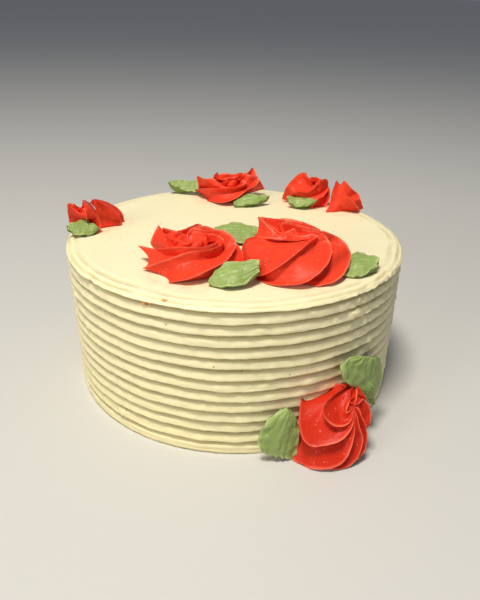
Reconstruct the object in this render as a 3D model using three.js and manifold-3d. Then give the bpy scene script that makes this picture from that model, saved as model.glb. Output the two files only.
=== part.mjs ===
// A round two-layer cake in ivory buttercream, combed into level ridges round the side. Red buttercream roses and
// green leaves are piped on its top and in one place at its foot.
// Millimetres, +Z up. The origin is the middle of the cake's flat underside, and -Y is the front.
import * as THREE from "three";
import { mergeVertices } from "three/addons/utils/BufferGeometryUtils.js";
import Module from "manifold-3d";

const wasm = await Module();
wasm.setup();

// ---- Driving sizes --------------------------------------------------------------------------------------------
const CAKE_TOP = 90.6; // height of the flat top
const FOOT_R = 98.6; // radius over the ridges at the foot
const RIM_R = 101.6; // radius over the ridges at the rim: the side flares a little
const GROOVES = 13; // grooves that the comb left in the side
const FIRST_GROOVE_Z = 7.6;
const GROOVE_PITCH = 6.56;
const GROOVE_DEPTH = 2.2;
const CAKE_SEGMENTS = 72;
const GAP = 0.3; // clear space that every rose and leaf keeps
const FLOOR_CLEARANCE = 0.1; // what hangs over the foot ends this far above the underside
const LEAF_THICKNESS = 2.4;

const COLOURS = { icing: 0xf3eccb, rose: 0xea4a36, leaf: 0x8fae62 };

const ICING_ROUGHNESS = 0.6;
const ROSE_ROUGHNESS = 0.45;
const LEAF_ROUGHNESS = 0.5;

const { PI, sin, cos, floor, pow } = Math;
const rad = (degrees) => (degrees * PI) / 180;
const mix = (a, b, t) => a + (b - a) * t;

// ---- Shared tools ---------------------------------------------------------------------------------------------
// The value at t, from 0 to 1, of a smooth line through evenly spaced knots.
function along(knots, t) {
  const last = knots.length - 1;
  const i = Math.min(floor(t * last), last - 1);
  const f = t * last - i;
  const at = (j) => knots[Math.max(0, Math.min(last, j))];
  const [a, b, c, d] = [at(i - 1), at(i), at(i + 1), at(i + 2)];
  return b + 0.5 * f * (c - a + f * (2 * a - 5 * b + 4 * c - d + f * (3 * (b - c) + d - a)));
}

// A closed surface through a stack of rings with equal numbers of points. Each end is a fan round the ring's middle.
// A ring runs anticlockwise as seen from the side that the stack grows towards.
function loft(rings) {
  const n = rings[0].length;
  const points = rings.flat();
  const middle = (ring) => ring.reduce((s, p) => s.add(p), new THREE.Vector3()).divideScalar(n);
  const bottom = points.push(middle(rings[0])) - 1;
  const top = points.push(middle(rings.at(-1))) - 1;
  const faces = [];
  for (let j = 0; j < n; j++) {
    const k = (j + 1) % n;
    faces.push(bottom, k, j);
    for (let i = 0; i + 1 < rings.length; i++) {
      const [a, b, c, d] = [i * n + j, i * n + k, (i + 1) * n + k, (i + 1) * n + j];
      faces.push(a, b, d, b, c, d);
    }
    faces.push(top, (rings.length - 1) * n + j, (rings.length - 1) * n + k);
  }
  const geometry = new THREE.BufferGeometry().setFromPoints(points);
  return geometry.setIndex(faces);
}

function solidOf(geometry) {
  const bare = geometry.clone();
  bare.deleteAttribute("normal");
  bare.deleteAttribute("uv");
  const merged = mergeVertices(bare, 1e-4);
  const vertProperties = merged.attributes.position.array;
  return new wasm.Manifold(
    new wasm.Mesh({ numProp: 3, vertProperties, triVerts: new Uint32Array(merged.index.array) }),
  );
}

function geometryOf(solid) {
  const { numProp, vertProperties, triVerts } = solid.getMesh();
  const geometry = new THREE.BufferGeometry();
  geometry.setAttribute("position", new THREE.BufferAttribute(vertProperties, numProp));
  return geometry.setIndex(new THREE.BufferAttribute(triVerts, 1));
}

// The largest body of a solid, without the scraps that a cut leaves.
function largest(solid) {
  return solid.decompose().reduce((a, b) => (b.volume() > a.volume() ? b : a));
}

function meshOf(name, geometry, colour, roughness) {
  const material = new THREE.MeshStandardMaterial({ color: colour, roughness, metalness: 0 });
  const mesh = new THREE.Mesh(geometry, material);
  mesh.name = name;
  return mesh;
}

// ---- The cake ---------------------------------------------------------------------------------------------------
const crestRadius = (z) => mix(FOOT_R, RIM_R, z / CAKE_TOP);

// The outline from the underside to the top, as [radius, height]. Each ridge juts out most at its lower edge, over
// a sharp groove, and slopes back to the groove above.
function cakeOutline() {
  const ridge = [
    [0, 1],
    [0.17, 0.04],
    [0.78, 0.42],
  ]; // [share of the pitch above the groove, share of the groove's depth]
  const outline = [
    [FOOT_R - 1.2, 0],
    [FOOT_R + 0.1, 1.4],
    [FOOT_R - 0.5, FIRST_GROOVE_Z - 1.6],
  ];
  for (let k = 0; k < GROOVES; k++) {
    for (const [up, inwards] of k < GROOVES - 1 ? ridge : ridge.slice(0, 2)) {
      const z = FIRST_GROOVE_Z + (k + up) * GROOVE_PITCH;
      outline.push([crestRadius(z) - inwards * GROOVE_DEPTH, z]);
    }
  }
  outline.push([RIM_R - 0.9, CAKE_TOP - 1.4], [RIM_R - 3.4, CAKE_TOP - 0.4], [RIM_R - 7.5, CAKE_TOP]);
  return outline;
}

// The comb wandered a little: each height moves by up to a millimetre round the cake, less near the foot and top.
function combWander(angle, z) {
  const free = sin((PI * z) / CAKE_TOP);
  return free * (0.45 * sin(2 * angle + 0.6 + z / 40) + 0.3 * sin(5 * angle + z / 23) + 0.2 * sin(9 * angle));
}

function cakeSolid() {
  const rings = cakeOutline().map(([r, z]) =>
    Array.from({ length: CAKE_SEGMENTS }, (_, i) => {
      const a = (2 * PI * i) / CAKE_SEGMENTS;
      const out = r + (z > 0 && z < CAKE_TOP ? 0.4 * sin(3 * a + 1) + 0.25 * sin(7 * a + z / 15) : 0);
      return new THREE.Vector3(out * cos(a), out * sin(a), z + combWander(a, z));
    }),
  );
  return solidOf(loft(rings));
}

// ---- Roses --------------------------------------------------------------------------------------------------------
// A star nozzle leaves thin fins with round valleys between them, which climb and turn anticlockwise as they go in.
// A form gives the line of a fin's edge and of a valley's floor, from the outer foot to the middle, as shares of the
// rose's radius and height. "turned" is the share of the whole turn made so far.
const FORMS = {
  // a wide swirl with a hollow middle
  bowl: {
    turned: [0, 0.2, 0.4, 0.6, 0.77, 0.87, 0.94, 1],
    edgeOut: [1.0, 1.02, 0.97, 0.87, 0.72, 0.5, 0.26, 0],
    edgeUp: [0.04, 0.17, 0.38, 0.66, 0.98, 0.9, 0.7, 0.58],
    floorOut: [0.86, 0.88, 0.82, 0.72, 0.58, 0.4, 0.2, 0],
    floorUp: [0, 0.1, 0.26, 0.48, 0.72, 0.7, 0.62, 0.56],
  },
  // a swirl drawn up to a point
  peak: {
    turned: [0, 0.19, 0.38, 0.57, 0.73, 0.85, 0.94, 1],
    edgeOut: [1.0, 1.02, 0.97, 0.86, 0.66, 0.43, 0.2, 0],
    edgeUp: [0.03, 0.17, 0.38, 0.63, 0.85, 0.96, 1.0, 1.0],
    floorOut: [0.86, 0.88, 0.82, 0.7, 0.52, 0.32, 0.14, 0],
    floorUp: [0, 0.1, 0.28, 0.5, 0.71, 0.86, 0.95, 1.0],
  },
  // a short drop flower with upright petals, wide at the foot
  drop: {
    turned: [0, 0.2, 0.42, 0.64, 0.84, 0.92, 0.97, 1],
    edgeOut: [0.98, 1.0, 0.95, 0.84, 0.68, 0.44, 0.2, 0],
    edgeUp: [0.02, 0.22, 0.48, 0.76, 1.0, 0.76, 0.54, 0.46],
    floorOut: [0.82, 0.82, 0.75, 0.64, 0.5, 0.34, 0.17, 0],
    floorUp: [0, 0.16, 0.36, 0.56, 0.7, 0.6, 0.5, 0.46],
  },
};
const RINGS = { bowl: 16, peak: 16, drop: 11 };
const ACROSS_FIN = [0, 0.09, 0.27, 0.52, 0.8]; // where the points lie from one fin's edge to the next
const FIN_SHARPNESS = 0.6; // under 1 the edges are thin and the valleys round
const FIN_LEAN = 4; // degrees: an edge leans back over the next valley in, as petals overlap

// Each rose: where it stands, radius, height, and how far its middle is pushed off centre. Each of its fins is
// [direction of its foot in degrees, degrees that it turns on its way in, share of the radius, share of the height,
// millimetres by which its foot is lifted into a free tip].
const ROSES = [
  {
    name: "rose_front_left", form: "bowl", at: [-22.5, -54, CAKE_TOP], r: 25.5, h: 17.5, push: [-2, 2],
    fins: [
      [-164, 240, 1.08, 0.92, 0.5],
      [-110, 220, 0.98, 0.95, 0],
      [-20, 215, 1.02, 1.12, 0],
      [60, 215, 0.98, 0.88, 1],
      [162, 150, 1.22, 0.9, 7],
    ],
  },
  {
    name: "rose_front_right", form: "peak", at: [33.5, -51.5, CAKE_TOP], r: 28.6, h: 21.5, push: [-18, 14],
    fins: [
      [-140, 250, 1.06, 1, 0.5],
      [-107, 250, 1.02, 1, 0],
      [-45, 250, 1, 1, 0],
      [20, 250, 1.02, 1, 1],
      [95, 250, 0.92, 1, 1],
      [165, 250, 0.98, 1, 1],
    ],
  },
  {
    name: "rose_back", form: "bowl", at: [-6, 77.5, CAKE_TOP], r: 25.5, h: 17.5, push: [0, 0],
    fins: [
      [-165, 215, 1.06, 1.16, 3],
      [-95, 215, 0.84, 0.95, 1],
      [-30, 215, 0.9, 0.95, 1],
      [25, 215, 1.05, 0.95, 2],
      [100, 215, 0.95, 0.78, 1],
    ],
  },
  {
    name: "rose_right_large", form: "drop", at: [47, 66, CAKE_TOP], r: 16, h: 19, push: [0, 0],
    fins: [
      [-150, 110, 1, 0.9, 0],
      [-80, 110, 1, 1, 0],
      [-10, 110, 1, 1.02, 0],
      [60, 110, 1, 1, 0],
      [135, 110, 1, 1.08, 0],
    ],
  },
  {
    name: "rose_right_small", form: "drop", at: [73, 51.5, CAKE_TOP], r: 12.3, h: 19, push: [-2, 0],
    fins: [
      [-145, 30, 1.08, 1.05, 0],
      [-45, -20, 1.1, 0.9, 0],
      [25, 50, 1, 0.8, 0],
      [90, 50, 0.95, 1.05, 0],
      [155, 50, 0.95, 0.95, 0],
    ],
  },
  {
    name: "rose_left_outer", form: "drop", at: [-92.5, 1.5, CAKE_TOP], r: 11.6, h: 18, push: [0, 0],
    fins: [
      [-125, 60, 1, 0.75, 0],
      [-35, 60, 1.05, 1.1, 0],
      [35, 60, 1, 1, 0],
      [100, 60, 1, 0.95, 0],
      [165, 60, 1, 0.9, 0],
    ],
  },
  {
    name: "rose_left_inner", form: "drop", at: [-77, 15.5, CAKE_TOP], r: 9.2, h: 15, push: [-2, 0],
    fins: [
      [-140, 60, 1, 0.8, 0],
      [-50, 60, 1.05, 0.75, 0],
      [20, 60, 1, 1, 0],
      [90, 60, 1, 1.05, 0],
      [155, 60, 1, 1, 0],
    ],
  },
];
// The rose at the cake's foot leans out of the corner between the cake's side and the surface that it stands on.
const SIDE_ROSE = {
  name: "rose_side", form: "peak", r: 25, h: 20, push: [5, 8],
  fins: [
    [-170, 240, 1, 1, 0],
    [-110, 240, 1.08, 1, 0],
    [-55, 240, 1, 1, 0],
    [0, 240, 0.86, 1, 0],
    [60, 240, 0.9, 1, 0],
    [125, 240, 1, 1, 0],
  ],
};
const SIDE_ROSE_TURN = 30; // degrees from the front towards +X
const SIDE_ROSE_OUT = 104; // from the cake's axis to the middle of the rose's back
const SIDE_ROSE_UP = 13.5;
const SIDE_ROSE_TILT = 45; // degrees from level

function roseRings({ form, r, h, push, fins }) {
  const { turned, edgeOut, edgeUp, floorOut, floorUp } = FORMS[form];
  return Array.from({ length: RINGS[form] }, (_, i) => {
    const t = (0.985 * i) / (RINGS[form] - 1);
    const pushed = t * t * (3 - 2 * t);
    const tip = pow(Math.max(0, 1 - 2.2 * t), 2);
    return fins.flatMap((fin, n) => {
      const next = fins[(n + 1) % fins.length];
      const gap = (next[0] - fin[0] + 720) % 360;
      return ACROSS_FIN.map((across) => {
        const [, turn, reach, rise, lift] = fin.map((value, j) => mix(value, next[j], across));
        const edge = 1 - pow(sin(PI * across), FIN_SHARPNESS);
        const out = r * reach * mix(along(floorOut, t), along(edgeOut, t), edge);
        const up = h * rise * mix(along(floorUp, t), along(edgeUp, t), edge) + lift * tip * edge;
        const a = rad(fin[0] + gap * across + turn * along(turned, t) - FIN_LEAN * edge * sin(PI * t));
        return new THREE.Vector3(out * cos(a) + push[0] * pushed, out * sin(a) + push[1] * pushed, up);
      });
    });
  });
}

// A rose as a solid. "grow" makes it bigger all over, for cutting what has to stay clear of it.
function roseSolid(rose, grow = 0) {
  const geometry = loft(roseRings({ ...rose, r: rose.r + grow, h: rose.h + grow }));
  const place = rose === SIDE_ROSE ? sidePlace() : new THREE.Matrix4().makeTranslation(...rose.at);
  return solidOf(geometry.applyMatrix4(place).translate(0, 0, rose === SIDE_ROSE ? 0 : GAP));
}

function sidePlace() {
  const turn = rad(SIDE_ROSE_TURN);
  const outward = new THREE.Vector3(sin(turn), -cos(turn), 0);
  const facing = outward.clone().multiplyScalar(cos(rad(SIDE_ROSE_TILT))).setZ(sin(rad(SIDE_ROSE_TILT)));
  const across = new THREE.Vector3(cos(turn), sin(turn), 0);
  const upward = facing.clone().cross(across);
  const place = new THREE.Matrix4().makeBasis(across, upward, facing);
  return place.setPosition(outward.multiplyScalar(SIDE_ROSE_OUT).setZ(SIDE_ROSE_UP));
}

// The part of a solid that is clear of the cake's side and of whatever the cake stands on.
function clearOfCake(solid) {
  const side = new THREE.CylinderGeometry(RIM_R + 3 * GAP, FOOT_R + 3 * GAP, CAKE_TOP, 72).rotateX(PI / 2);
  const surface = new THREE.BoxGeometry(400, 400, 100).translate(0, 0, FLOOR_CLEARANCE - 50);
  const cake = solidOf(side.translate(0, 0, CAKE_TOP / 2));
  return largest(solid.subtract(cake).subtract(solidOf(surface)));
}

// ---- Leaves ---------------------------------------------------------------------------------------------------------
const ALONG_LEAF = 6;
const ACROSS_LEAF = 4;

// Each leaf: the middle of its wide end, its tip, the way that its upper face looks, its width, and the curl of its
// edges. The heights of the first seven are above the cake's top.
const TOP_LEAVES = [
  { name: "leaf_front", from: [10.5, -74, 5.5], to: [-14, -80, 3.4], facing: [0, -0.4, 0.9], width: 17, curl: 1.6 },
  { name: "leaf_middle", from: [1, -33, 2.6], to: [0, -8, 3.2], facing: [0, 0, 1], width: 28, curl: 2.2 },
  { name: "leaf_right", from: [78, -47, 2.4], to: [59.5, -54.5, 2.2], facing: [0, -0.1, 1], width: 20, curl: 1.2 },
  { name: "leaf_back_left", from: [-33, 83, 3], to: [-52, 80, 7], facing: [0, -0.5, 0.8], width: 12, curl: 2 },
  { name: "leaf_back_front", from: [18, 59, 3.6], to: [-3, 53, 2.6], facing: [0, -0.4, 0.9], width: 12, curl: 1.5 },
  { name: "leaf_right_front", from: [34, 54, 4], to: [56, 54, 3], facing: [0, -0.4, 0.9], width: 11, curl: 1.5 },
  { name: "leaf_left_front", from: [-93, -5, 4], to: [-94, -21, 3], facing: [0, -0.2, 1], width: 20, curl: 1.5 },
];
const SIDE_LEAVES = [
  { name: "leaf_side_low", from: [22.5, -104, 4], to: [27, -103, 32], facing: [0.2, -1, 0.1], width: 21, curl: 1.5 },
  { name: "leaf_side_high", from: [67, -83, 47], to: [79, -75, 17], facing: [0.5, -0.85, 0.2], width: 28, curl: 1.5 },
];

function leafRings({ length, width, curl }) {
  const rings = [];
  for (let i = 0; i <= ALONG_LEAF; i++) {
    const t = mix(0.02, 0.97, i / ALONG_LEAF);
    const half = (width / 2) * pow(1 - t, 0.5) * Math.min(1, pow(t / 0.1, 0.3));
    const rise = curl * (0.5 * sin(PI * t) + 0.2 * sin(8 * t));
    const point = (across, side) => {
      const bow = curl * across * across + 0.4 * sin(6 * across + 4 * t);
      const thick = side * 0.5 * LEAF_THICKNESS * (1 - 0.55 * across * across);
      return new THREE.Vector3(t * length, across * half, rise + bow + thick - 0.5 * curl);
    };
    const ring = [];
    for (let j = 0; j <= ACROSS_LEAF; j++) ring.push(point(mix(-1, 1, j / ACROSS_LEAF), -1));
    for (let j = 0; j <= ACROSS_LEAF; j++) ring.push(point(mix(1, -1, j / ACROSS_LEAF), 1));
    rings.push(ring);
  }
  return rings;
}

function leafSolid(leaf, lift) {
  const from = new THREE.Vector3(...leaf.from);
  const along = new THREE.Vector3(...leaf.to).sub(from);
  const length = along.length();
  along.normalize();
  const across = new THREE.Vector3(...leaf.facing).cross(along).normalize();
  const facing = along.clone().cross(across);
  const place = new THREE.Matrix4().makeBasis(along, across, facing).setPosition(from.setZ(from.z + lift));
  return solidOf(loft(leafRings({ ...leaf, length })).applyMatrix4(place));
}

// ---- The whole ------------------------------------------------------------------------------------------------------
const group = new THREE.Group();
const addPiece = (name, solid, colour, roughness) => group.add(meshOf(name, geometryOf(solid), colour, roughness));

const roses = [...ROSES, SIDE_ROSE];
const clearOfRoses = (solid) => largest(roses.reduce((rest, rose) => rest.subtract(roseSolid(rose, 2 * GAP)), solid));

addPiece("cake", cakeSolid(), COLOURS.icing, ICING_ROUGHNESS);
for (const rose of ROSES) addPiece(rose.name, roseSolid(rose), COLOURS.rose, ROSE_ROUGHNESS);
addPiece(SIDE_ROSE.name, clearOfCake(roseSolid(SIDE_ROSE)), COLOURS.rose, ROSE_ROUGHNESS);
for (const leaf of TOP_LEAVES) addPiece(leaf.name, clearOfRoses(leafSolid(leaf, CAKE_TOP)), COLOURS.leaf, LEAF_ROUGHNESS);
for (const leaf of SIDE_LEAVES) {
  addPiece(leaf.name, clearOfCake(clearOfRoses(leafSolid(leaf, 0))), COLOURS.leaf, LEAF_ROUGHNESS);
}
export default group;
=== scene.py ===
from math import cos, pi, radians, sin

import bpy
import numpy as np
from mathutils import Matrix, Vector


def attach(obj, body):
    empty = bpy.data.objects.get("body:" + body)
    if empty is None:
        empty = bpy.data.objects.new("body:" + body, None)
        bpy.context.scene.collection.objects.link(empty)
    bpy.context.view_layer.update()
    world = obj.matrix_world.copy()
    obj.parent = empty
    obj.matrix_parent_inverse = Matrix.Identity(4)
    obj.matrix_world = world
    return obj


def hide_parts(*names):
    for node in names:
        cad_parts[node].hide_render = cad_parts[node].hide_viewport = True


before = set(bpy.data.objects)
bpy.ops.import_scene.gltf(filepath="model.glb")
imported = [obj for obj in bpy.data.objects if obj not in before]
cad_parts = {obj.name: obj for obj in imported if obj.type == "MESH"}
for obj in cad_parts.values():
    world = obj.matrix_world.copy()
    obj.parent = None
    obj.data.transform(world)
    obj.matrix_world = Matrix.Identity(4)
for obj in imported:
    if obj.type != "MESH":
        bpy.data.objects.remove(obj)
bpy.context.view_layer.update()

MM = 0.001

# ---- Driving sizes, in millimetres unless named otherwise --------------------
CAKE_TOP = 90.6
FOOT_R = 98.6
RIM_R = 101.2
FIRST_GROOVE_Z = 7.6
GROOVE_PITCH = 6.56
GROOVE_DEPTH = 3.2
GROOVES = 13
FLOOR_CLEARANCE = 0.1

# ---- The camera: where the picture was taken from ----------------------------
EYE = Vector((2.807, -367.59, 225.168)) * MM
PITCH = 26.2018  # degrees below level
ROLL = 1.4949  # degrees
LENS, SENSOR = 38.003, 36  # millimetres, the sensor on the picture's long side
NEAREST, FARTHEST = 0.02, 60  # what the camera sees, in metres


def placed(name, data):
    """An object in the scene that holds data."""
    made = bpy.data.objects.new(name, data)
    bpy.context.scene.collection.objects.link(made)
    return made


def place_camera():
    """The camera at EYE, looking towards +Y and down by PITCH, with its small roll."""
    ahead = Vector((0, cos(radians(PITCH)), -sin(radians(PITCH))))
    side = Vector((1, 0, 0))
    up = side.cross(ahead)
    roll = radians(ROLL)
    right = cos(roll) * side + sin(roll) * up
    upright = -sin(roll) * side + cos(roll) * up
    data = bpy.data.cameras.new("camera")
    data.lens, data.sensor_width, data.sensor_fit = LENS, SENSOR, "AUTO"
    data.clip_start, data.clip_end = NEAREST, FARTHEST
    camera = placed("camera", data)
    camera.matrix_world = Matrix((right, upright, -ahead)).transposed().to_4x4()
    camera.location = EYE
    bpy.context.scene.camera = camera


place_camera()
bpy.context.scene.view_settings.view_transform = "Standard"


# ---- Tools -------------------------------------------------------------------
def linear(hex_colour):
    """An sRGB hex colour as the linear RGBA that nodes take."""
    parts = [int(hex_colour[i : i + 2], 16) / 255 for i in (1, 3, 5)]
    return [c / 12.92 if c <= 0.04045 else ((c + 0.055) / 1.055) ** 2.4 for c in parts] + [1]


def add(tree, kind, settings, inputs, output=0):
    """Adds a node with its settings and its inputs, values or links, and returns one of its outputs."""
    made = tree.nodes.new(kind)
    for name, value in settings.items():
        setattr(made, name, value)
    for name, value in inputs.items():
        if isinstance(value, bpy.types.NodeSocket):
            tree.links.new(value, made.inputs[name])
        else:
            made.inputs[name].default_value = value
    return made.outputs[output]


def build(tree, steps, known):
    """Adds one node for each step, [result, (kind, settings, output), inputs].

    A text input is a known result's name or a hex colour. The results are added to known.
    """
    for result, (kind, settings, output), inputs in steps:
        values = inputs if isinstance(inputs, dict) else dict(enumerate(inputs))
        given = {}
        for name, value in values.items():
            if isinstance(value, str):
                value = linear(value) if value[0] == "#" else known.get(value, value)
            given[name] = value
        known[result] = add(tree, kind, settings, given, output)
    return known


# the kinds of node in the steps: (kind, settings, output)
SUM, LESS, TIMES, OVER, TIMES_ADD, LEAST, MOST, ROOT, SINE, PART, ABOVE = (
    ("ShaderNodeMath", {"operation": operation}, 0)
    for operation in (
        "ADD", "SUBTRACT", "MULTIPLY", "DIVIDE", "MULTIPLY_ADD", "MINIMUM", "MAXIMUM", "SQRT", "SINE",
        "FRACT", "GREATER_THAN",
    )
)
VECTOR = ("ShaderNodeCombineXYZ", {}, 0)
SCALED = ("ShaderNodeVectorMath", {"operation": "MULTIPLY_ADD"}, 0)
FAR = ("ShaderNodeVectorMath", {"operation": "DISTANCE"}, "Value")
NOISE = ("ShaderNodeTexNoise", {}, 0)
CELLS = ("ShaderNodeTexVoronoi", {}, "Distance")
RANGE = ("ShaderNodeMapRange", {"clamp": True}, 0)
MIX = ("ShaderNodeMix", {"data_type": "RGBA"}, 2)
BUMP = ("ShaderNodeBump", {}, 0)
PAINTED_SHADE, CREST, RIM = (
    ("ShaderNodeAttribute", {"attribute_name": name}, "Fac") for name in ("hollow", "crest", "rim")
)
DRAWN = ("ShaderNodeMapping", {}, 0)
HEIGHT = ("ShaderNodeSeparateXYZ", {}, 2)

NOISE_CELLS = 32  # the smooth noise repeats after so many lumps


def each(size):
    """The scale of a pattern that has one lump or cell in each size, in millimetres."""
    return 1 / (size * MM)


def smooth(x):
    """An even rise from 0 to 1, level at both ends."""
    return x * x * (3 - 2 * x)


def noise(points, size, seed):
    """Smooth noise from -1 to 1 at points, an array of xyz, with lumps about size wide."""
    table = np.random.default_rng(seed).uniform(-1, 1, (NOISE_CELLS,) * 3)
    scaled = np.asarray(points, float) / size
    cell = np.floor(scaled).astype(int)
    part = smooth(scaled - cell)
    total = 0
    for corner in range(8):
        step = np.array([corner & 1, corner >> 1 & 1, corner >> 2 & 1])
        weight = np.prod(np.where(step, part, 1 - part), axis=-1)
        at = (cell + step) % NOISE_CELLS
        total = total + weight * table[at[..., 0], at[..., 1], at[..., 2]]
    return total


def along(knots, t):
    """The values at t, from 0 to 1, of a smooth line through evenly spaced knots."""
    knots = np.asarray(knots, float)
    last = len(knots) - 1
    i = np.minimum((t * last).astype(int), last - 1)
    f = (t * last - i).reshape(t.shape + (1,) * (knots.ndim - 1))
    a, b, c, d = (knots[np.clip(i + k, 0, last)] for k in (-1, 0, 1, 2))
    return b + 0.5 * f * (c - a + f * (2 * a - 5 * b + 4 * c - d + f * (3 * (b - c) + d - a)))


def piece(name, points, faces, material, attributes, sharp):
    """A mesh object from points in millimetres, with one value of each named attribute for each point.

    Edges that turn by more than sharp degrees stay sharp.
    """
    mesh = bpy.data.meshes.new(name)
    mesh.from_pydata((np.asarray(points) * MM).tolist(), [], faces)
    mesh.materials.append(material)
    for key, values in attributes.items():
        mesh.attributes.new(key, "FLOAT", "POINT").data.foreach_set("value", np.asarray(values, np.float32))
    mesh.shade_smooth()
    mesh.set_sharp_from_angle(angle=radians(sharp))
    mesh.validate()
    return placed(name, mesh)


def loft_faces(rings, count):
    """The faces of a stack of rings of count points each, with a fan at each end round one more point."""
    faces = []
    bottom, top = rings * count, rings * count + 1
    for j in range(count):
        k = (j + 1) % count
        faces.append((bottom, k, j))
        for i in range(rings - 1):
            a, b, c, d = i * count + j, i * count + k, (i + 1) * count + k, (i + 1) * count + j
            faces.append((a, b, c, d))
        faces.append((top, (rings - 1) * count + j, (rings - 1) * count + k))
    return faces


def closed(grid):
    """The points of a stack of rings, and the middles of the first and the last ring for their fans."""
    flat = grid.reshape(-1, grid.shape[-1])
    return np.vstack([flat, grid[0].mean(0), grid[-1].mean(0)])


def dress(made, node):
    """Rides a piece on the cake's one body, in the place of a node, and hides that node's part."""
    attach(made, "root")
    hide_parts(node)


# ---- Materials ---------------------------------------------------------------
LIGHT_REACH = 2 * MM  # how far light spreads inside the icing
RELIEF = 0.6 * MM  # height of the marks that are in a material alone


def material(name, roughness, specular, subsurface, radius, steps):
    """A material with even values on the shader's sockets, and steps that give a colour and a relief."""
    made = bpy.data.materials.new(name)
    made.use_nodes = True
    tree = made.node_tree
    shader = tree.nodes["Principled BSDF"]
    values = {
        "Roughness": roughness,
        "Specular IOR Level": specular,
        "Subsurface Weight": subsurface,
        "Subsurface Scale": LIGHT_REACH,
        "Subsurface Radius": radius,
    }
    for key, value in values.items():
        shader.inputs[key].default_value = value
    known = build(tree, steps, {"place": add(tree, "ShaderNodeTexCoord", {}, {}, "Object")})
    tree.links.new(known["colour"], shader.inputs["Base Color"])
    tree.links.new(known["relief"], shader.inputs["Normal"])
    return made


# where red icing bled into the ivory: [middle x, y, z, reach from the middle], in millimetres
BLEEDS = [
    [-22, -56, 90, 32], [33, -52, 90, 34], [-7, 76, 90, 30], [47, 65, 90, 20], [72, 51, 90, 16],
    [-91, 2, 90, 15], [-77, 15, 90, 13], [50, -86, 22, 36],
]
BLEED_CORE = 0.8  # the share of its reach where a bleed starts to fade


def bleed_steps():
    """The share of red at a point, from its distances to the middles of the roses."""
    steps = [["bleed 0", SUM, [0, 0]]]
    for n, (x, y, z, reach) in enumerate(BLEEDS):
        reach *= MM
        steps += [
            [f"far {n}", FAR, ["place", (x * MM, y * MM, z * MM)]],
            [f"near {n}", RANGE, [f"far {n}", reach * BLEED_CORE, reach, 1, 0]],
            [f"bleed {n + 1}", MOST, [f"bleed {n}", f"near {n}"]],
        ]
    return steps


# Whipped butter icing, drawn round with a comb: matt, a little translucent, with streaks and burst bubbles.
IVORY = material("ivory_buttercream", 0.45, 0.35, 0.12, (1.0, 0.7, 0.35), bleed_steps() + [
    ["clouds", NOISE, {"Vector": "place", "Scale": each(28.6), "Detail": 3}],
    ["even", MIX, {"Factor": "clouds", 6: "#F1E7BE", 7: "#F7EECA"}],
    # painted reflection: the combed side is painted yellower than the smoothed top, and more so lower down,
    # for warm light bounced up from below
    ["height", HEIGHT, {"Vector": "place"}],
    ["side", RANGE, ["height", (CAKE_TOP - 0.1) * MM, (CAKE_TOP - 2.1) * MM, 0, 0.25]],
    ["low", RANGE, ["height", 80 * MM, 0, 0, 0.25]],
    ["yellow", SUM, ["side", "low"]],
    ["body", MIX, {"Factor": "yellow", 6: "even", 7: "#F2E4A4"}],
    # painted shade in the grooves and folds of the side, where a lip above keeps the light out
    ["hollow", PAINTED_SHADE, {}],
    ["depth", TIMES, ["hollow", 0.75]],
    ["shaded", MIX, {"Factor": "depth", 6: "body", 7: "#9A8A44"}],
    # red that ran into the ivory at the roses' feet, in patches
    ["patches", NOISE, {"Vector": "place", "Scale": each(6.25), "Detail": 2}],
    ["patchy", RANGE, ["patches", 0.35, 0.7, 0, 0.4]],
    ["pink", TIMES, [f"bleed {len(BLEEDS)}", "patchy"]],
    ["stained", MIX, {"Factor": "pink", 6: "shaded", 7: "#F0BCA2"}],
    # holes of bubbles, one in each 9 mm cell, up to 1 mm wide, with painted shade inside
    ["bubble", CELLS, {"Vector": "place", "Scale": each(9.09)}],
    ["hole", RANGE, ["bubble", 0.035, 0.07, 1, 0]],
    ["dark", TIMES, ["hole", 0.55]],
    ["colour", MIX, {"Factor": "dark", 6: "stained", 7: "#8A7644"}],
    # drag marks of the comb, 0.6 mm high and 17 mm long, and fine grain
    ["stretched", DRAWN, {"Vector": "place", "Scale": (each(16.7), each(16.7), each(0.556))}],
    ["streaks", NOISE, {"Vector": "stretched", "Scale": 1, "Detail": 3}],
    ["grain", NOISE, {"Vector": "place", "Scale": each(1.43), "Detail": 3}],
    ["marks", TIMES_ADD, ["grain", 0.35, "streaks"]],
    ["pitted", TIMES_ADD, ["hole", -2.5, "marks"]],
    ["relief", BUMP, {"Strength": 0.45, "Distance": RELIEF, "Height": "pitted"}],
])
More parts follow.
